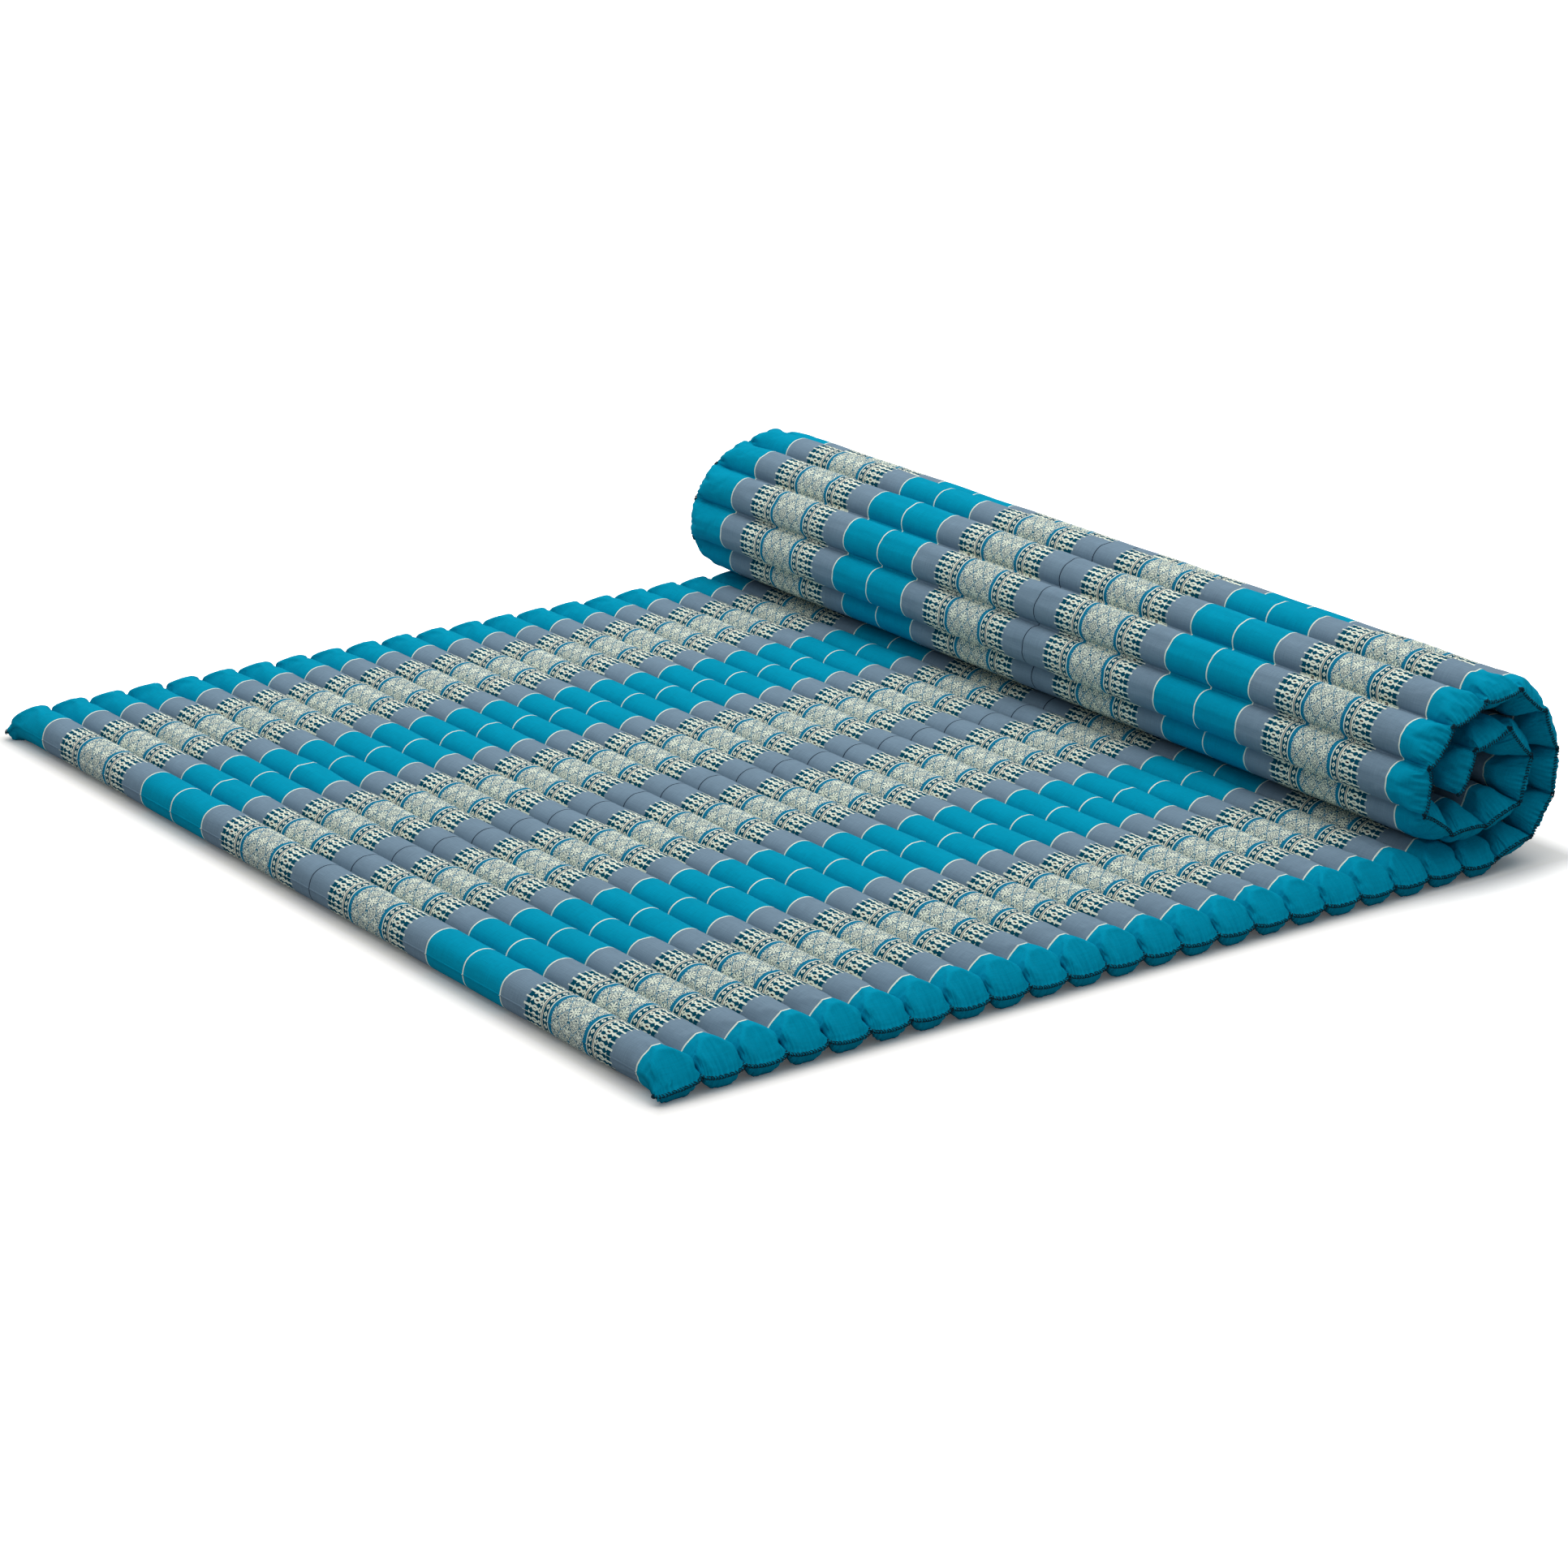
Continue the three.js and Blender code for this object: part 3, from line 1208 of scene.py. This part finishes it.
@dataclass(frozen=True)
class StitchTree:
    """Geometry Nodes tree that whips a thread over an edge and knots it at both ends."""

    name: str = "whip_stitch"
    loop_points: int = 9
    thread_sides: int = 5
    loop_turn: float = math.radians(316)  # a loop is open where the thread enters the cloth
    lean: float = 0.5
    squash: tuple = (1.0, 0.8, 1.0)
    jitter: tuple = (0.16, 0.12, 0.22)
    knot_loops: int = 3
    knot_spin: float = 3.1

    def build(self) -> Tree:
        """Make the tree.

        Returns:
            The tree, with inputs Spacing, Thread, Reach, Up, Seed and Material.
        """
        tree = bpy.data.node_groups.new(self.name, "GeometryNodeTree")
        inputs = {"Geometry": "Geometry", "Spacing": "Float", "Thread": "Float"}
        inputs.update({"Reach": "Float", "Up": "Vector", "Seed": "Int", "Material": "Material"})
        for name, kind in inputs.items():
            tree.interface.new_socket(name, in_out="INPUT", socket_type=f"NodeSocket{kind}")
        tree.interface.new_socket("Geometry", in_out="OUTPUT", socket_type="NodeSocketGeometry")

        def node(kind: str, wires: Optional[dict] = None, **settings: Any) -> Any:
            """Add a node and give its first output."""
            return add_node(tree, kind, wires, **settings).outputs[0]

        def scattered(limit: Sequence[float], **wires: Any) -> Any:
            """Random turns between minus and plus a limit."""
            low = tuple(-value for value in limit)
            wires = {0: low, 1: tuple(limit), "Seed": given["Seed"], **wires}
            return node("FunctionNodeRandomValue", wires, data_type="FLOAT_VECTOR")

        def placed(points: Any, turn: Any) -> Any:
            """Put a loop of thread on every point."""
            wires = {"Points": points, "Instance": loop, "Rotation": turn}
            return node("GeometryNodeInstanceOnPoints", wires)

        given = add_node(tree, "NodeGroupInput").outputs
        edge = node("GeometryNodeMeshToCurve", {0: given["Geometry"]})
        wires = {"Curve": edge, "Length": given["Spacing"]}
        evenly = node("GeometryNodeResampleCurve", wires, mode="LENGTH")

        wires = {"Resolution": self.loop_points, "Radius": given["Reach"]}
        wires.update({"Start Angle": -self.loop_turn / 2, "Sweep Angle": self.loop_turn})
        arc = node("GeometryNodeCurveArc", wires)
        wires = {"Resolution": self.thread_sides, "Radius": given["Thread"]}
        profile = node("GeometryNodeCurvePrimitiveCircle", wires)
        wires = {"Curve": arc, "Profile Curve": profile, "Fill Caps": True}
        loop = node("GeometryNodeCurveToMesh", wires)
        upright = (math.pi / 2, 0, math.pi / 2 + self.lean)
        wires = {"Geometry": loop, "Rotation": upright, "Scale": self.squash}
        loop = node("GeometryNodeTransform", wires)

        wires = {"Vector": node("GeometryNodeInputTangent")}
        turn = node("FunctionNodeAlignRotationToVector", wires, axis="X")
        wires = {"Rotation": turn, "Vector": given["Up"]}
        turn = node("FunctionNodeAlignRotationToVector", wires, axis="Z", pivot_axis="X")
        wires = {0: turn, 1: scattered(self.jitter)}
        turn = node("FunctionNodeRotateRotation", wires, rotation_space="LOCAL")

        ends = node("GeometryNodeCurveEndpointSelection")
        wires = {"Geometry": evenly, "Selection": ends}
        ends = node("GeometryNodeSeparateGeometry", wires, domain="POINT")
        wires = {"Geometry": ends, "Amount": self.knot_loops}
        copies = node("GeometryNodeDuplicateElements", wires, domain="POINT")
        spin = scattered([self.knot_spin] * 3, ID=node("GeometryNodeInputIndex"))

        together = add_node(tree, "GeometryNodeJoinGeometry")
        for part in (placed(copies, spin), placed(evenly, turn)):
            connect(tree, part, together.inputs[0])
        real = node("GeometryNodeRealizeInstances", {0: together.outputs[0]})
        wires = {"Geometry": real, "Material": given["Material"]}
        add_node(tree, "NodeGroupOutput", {0: node("GeometryNodeSetMaterial", wires)})
        return tree


@dataclass
class EndStitches:
    """Whips the two ends of a tube shut."""

    tree: Tree
    thread: Material
    tube: PaddedTube
    spacing: float = 3.4 * MM
    radius: float = 0.6 * MM
    reach: float = 2.25 * MM
    inset: float = 0.9 * MM
    first_seed: int = 70

    def path(self, place: Place) -> Object:
        """The end seams of one tube as two lines of points.

        Args:
            place: where the tube lies.

        Returns:
            One object with both lines.
        """
        points, _ = self.tube.shape(place)
        count = self.tube.around // 2 + 1
        vertices: list = []
        edges: list = []
        for ring, outward in ((0, -1.0), (-1, 1.0)):
            line = points[ring, :count].copy()
            line[:, 1] -= outward * self.inset
            first = len(vertices)
            vertices.extend(place.world(line).tolist())
            edges.extend((first + k, first + k + 1) for k in range(count - 1))
        mesh = bpy.data.meshes.new("end_seam")
        mesh.from_pydata(vertices, edges, [])
        return linked("end_seam", mesh)

    def build(self, place: Place) -> Object:
        """Make the stitches of one tube.

        Args:
            place: where the tube lies.

        Returns:
            One mesh, riding on the tube's body.
        """
        host = self.path(place)
        modifier = host.modifiers.new("stitches", "NODES")
        modifier.node_group = self.tree
        values = {
            "Spacing": self.spacing,
            "Thread": self.radius,
            "Reach": self.reach,
            "Up": (float(place.up[0]), 0.0, float(place.up[1])),
            "Seed": self.first_seed + place.number,
            "Material": self.thread,
        }
        for item in self.tree.interface.items_tree:
            if item.in_out == "INPUT" and item.name in values:
                modifier[item.identifier] = values[item.name]
        bpy.context.view_layer.update()
        graph = bpy.context.evaluated_depsgraph_get()
        mesh = bpy.data.meshes.new_from_object(host.evaluated_get(graph))
        mesh.name = name = f"end_stitches_{place.number:02d}"
        bpy.data.objects.remove(host)
        if not mesh.materials:
            mesh.materials.append(self.thread)
        mesh.polygons.foreach_set("use_smooth", [True] * len(mesh.polygons))
        piece = linked(name, mesh)
        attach(piece, place.body)
        return piece


# ---- cloth hinges and tag ----


@dataclass
class SeamWeb:
    """The sewn line between two tubes, where both cloths lie flat on each other."""

    layout: Layout
    cloth: Material
    tube: PaddedTube
    half_width: float = 1.5 * MM
    half_thick: float = 0.45 * MM
    knot_inset: float = 4 * MM
    steps: int = 140
    outline: tuple = ((-1, 0), (-0.5, -1), (0.5, -1), (1, 0), (0.5, 1), (-0.5, 1))

    def build(self, first: Place, second: Place) -> Object:
        """Make the web of one seam.

        Args:
            first: the tube before the seam.
            second: the tube after it.

        Returns:
            The web, which lies along the seam between the two tubes.
        """
        seam = first.end
        across = unit(first.along + second.along)
        up = np.array([-across[1], across[0]])
        half = self.layout.half_length - self.knot_inset
        knots = [
            self.tube.knot_sag if place.run is Run.FLAT else self.tube.ear
            for place in (first, second)
        ]
        vertices, cloth = [], []
        for y in np.linspace(-half, half, self.steps):
            inward = self.layout.half_length - abs(y)
            dip = sum(knots) / 2 * fading(inward, self.tube.knot_reach)
            for a, b in self.outline:
                spot = seam + across * a * self.half_width + up * (b * self.half_thick - dip)
                vertices.append((spot[0], y, spot[1]))
                cloth.append((y + self.tube.cloth_shift, a * self.half_width))
        count = len(self.outline)
        faces = grid_faces(self.steps, count, joined=True)
        faces.append(list(range(count)))
        faces.append([(self.steps - 1) * count + k for k in reversed(range(count))])
        corners = [cloth[point] for face in faces for point in face]
        name = f"seam_web_{first.number:02d}_{second.number:02d}"
        web = surface(name, vertices, faces, self.cloth, corners, smooth=False)
        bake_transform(web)
        return web


@dataclass
class BlankTag:
    """Small folded tape, without any words, sewn into the free edge inside the roll."""

    tape: Material
    thick: float = 0.5 * MM
    longest: float = 15 * MM
    curl: float = 1.6 * MM
    ripple: float = 0.5 * MM
    columns: int = 25
    rows: int = 19

    def build(self, place: Place) -> Object:
        """Make the tag.

        Args:
            place: the tube that it is sewn to.

        Returns:
            The tag, standing for its solid.
        """
        low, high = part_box("blank_tag")
        reach = float(np.hypot(high.x - low.x, high.z - low.z))
        width = float(high.y - low.y)
        length = min(reach, self.longest)
        out = place.along * length * 0.98
        vertices, cloth = [], []
        for far in np.linspace(0, 1, self.rows):
            for side in np.linspace(0, 1, self.columns):
                curl = self.curl * math.sin(far * 2.2)
                curl += self.ripple * math.sin(side * 5 + far * 2) * far
                spot = place.end + out * far + place.up * curl
                vertices.append((spot[0], low.y + side * width, spot[1]))
                cloth.append((side * width, far * reach))
        faces = [face[::-1] for face in grid_faces(self.rows, self.columns, joined=False)]
        corners = [cloth[point] for face in faces for point in face]
        tag = surface("tag", vertices, faces, self.tape, corners)
        wall = tag.modifiers.new("wall", "SOLIDIFY")
        wall.thickness = self.thick
        wall.offset = 0.0
        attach(tag, place.body)
        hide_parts("blank_tag")
        return tag


# ---- studio ----


@dataclass(frozen=True)
class Studio:
    """Pale floor, soft light and the camera."""

    camera_place: tuple = (-2.8558, -3.9274, 1.6734)
    camera_turn: float = 53.593  # degrees from +X towards +Y
    camera_down: float = 18.865
    camera_roll: float = 0.387
    lens: float = 98.03
    sensor: float = 36.0
    farthest: float = 60.0
    floor_half: float = 12.0
    floor_shade: float = 0.42  # how light the floor is for all but the camera
    floor_tint: tuple = (1.0, 0.94, 0.88)
    # painted light: for the camera the floor glows, least at the object's box and fully beyond the
    # ramp, which washes out the cast shadow a few centimetres from the object
    glow_start: float = 0.004
    glow_ramp: float = 0.075  # from the object's box to where the floor is quite white
    glow: float = 0.9
    glow_least: float = 0.06
    sky: Colour = (0.70, 0.86, 1.0, 1)
    sky_strength: float = 0.29
    aim: tuple = (0, 0, 0.05)
    lamps: tuple = (  # name, place, size, power
        ("overhead", (0.4, 0.6, 3.0), 6.0, 151.0),
        ("side", (-3.2, -1.0, 2.4), 2.0, 6.0),
    )

    def camera(self) -> None:
        """Place the camera and make it the scene's own."""
        data = bpy.data.cameras.new("camera")
        data.sensor_width = self.sensor
        data.lens = self.lens
        data.clip_end = self.farthest
        matrix = Matrix.Translation(self.camera_place)
        turns = (self.camera_turn - 90, 90 - self.camera_down, self.camera_roll)
        for angle, axis in zip(turns, "ZXZ"):
            matrix = matrix @ Matrix.Rotation(math.radians(angle), 4, axis)
        camera = linked("camera", data)
        camera.matrix_world = matrix
        bpy.context.scene.camera = camera

    def floor(self) -> None:
        """Lay a white floor whose cast shadow shows only near the object, with painted light that
        whitens the floor farther out.
        """
        build = MaterialBuilder("white_floor", roughness=1.0, gloss=0.0)
        tree = build.tree
        seen = Shade(tree, add_node(tree, "ShaderNodeLightPath").outputs["Is Camera Ray"])
        shade = self.floor_shade
        tones = [seen * (share - shade) + shade for share in self.floor_tint]
        tone = add_node(tree, "ShaderNodeCombineColor", dict(enumerate(tones)))
        build.set("Base Color", tone.outputs[0])
        _, high = (Vector(corner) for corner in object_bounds())
        x, y, _ = build.object_position()
        # painted light: a glow seen only by the camera that grows with distance from the object's
        # box, so the cast shadow is whitened away there
        away = (((abs(x) - high.x) | (abs(y) - high.y)) - self.glow_start) / self.glow_ramp
        build.set("Emission Color", WHITE)
        glow = away.at_most(1.0).at_least(0.0) * self.glow + self.glow_least
        build.set("Emission Strength", glow * seen)
        half = self.floor_half
        corners = [(-half, -half, 0), (half, -half, 0), (half, half, 0), (-half, half, 0)]
        surface("floor", corners, [[0, 1, 2, 3]], build.material, smooth=False)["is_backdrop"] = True

    def light(self) -> None:
        """Light the object softly from all round and mostly from above."""
        world = bpy.data.worlds.new("studio")
        bpy.context.scene.world = world
        world.use_nodes = True
        tree = world.node_tree
        back = tree.nodes["Background"]
        seen = add_node(tree, "ShaderNodeLightPath").outputs["Is Camera Ray"]
        wires = {"Factor": seen, "A": self.sky_strength, "B": 1.0}
        strength = add_node(tree, "ShaderNodeMix", wires).outputs[0]
        wires = {"Factor": seen, MIX_FIRST: self.sky, MIX_SECOND: WHITE}
        tint = add_node(tree, "ShaderNodeMix", wires, data_type="RGBA").outputs[MIX_RESULT]
        connect(tree, strength, back.inputs["Strength"])
        connect(tree, tint, back.inputs["Color"])
        for name, place, size, power in self.lamps:
            data = bpy.data.lights.new(name, "AREA")
            data.shape = "SQUARE"
            data.size = size
            data.energy = power
            lamp = linked(name, data)
            lamp.location = place
            towards = Vector(self.aim) - Vector(place)
            lamp.rotation_euler = towards.to_track_quat("-Z", "Y").to_euler()

    def build(self) -> None:
        """Set up floor, light, camera and colour."""
        self.floor()
        self.light()
        self.camera()
        bpy.context.scene.view_settings.view_transform = "Standard"


# ---- everything together ----


def main() -> None:
    """Build the mattress and the studio."""
    logging.basicConfig(level=logging.INFO, format="%(name)s %(message)s")
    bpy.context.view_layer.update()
    layout = Layout(frame["joints"], frame["nodes"]).read()
    cloth = StripedCotton().material()
    thread = SewingThread().material()
    tape = TagTape().material()
    tube = PaddedTube(layout, cloth)
    stitches = EndStitches(StitchTree().build(), thread, tube)
    web = SeamWeb(layout, cloth, tube)
    for place in layout.places:
        tube.build(place)
        stitches.build(place)
        LOG.info("tube %d of %d", place.number, len(layout.places))
    for first, second in zip(layout.places, layout.places[1:]):
        web.build(first, second)
    LOG.info("%d seam webs", len(layout.places) - 1)
    BlankTag(tape).build(layout.places[-1])
    LOG.info("blank tag")
    Studio().build()
    bpy.context.view_layer.update()


if __name__ == "__main__":
    main()
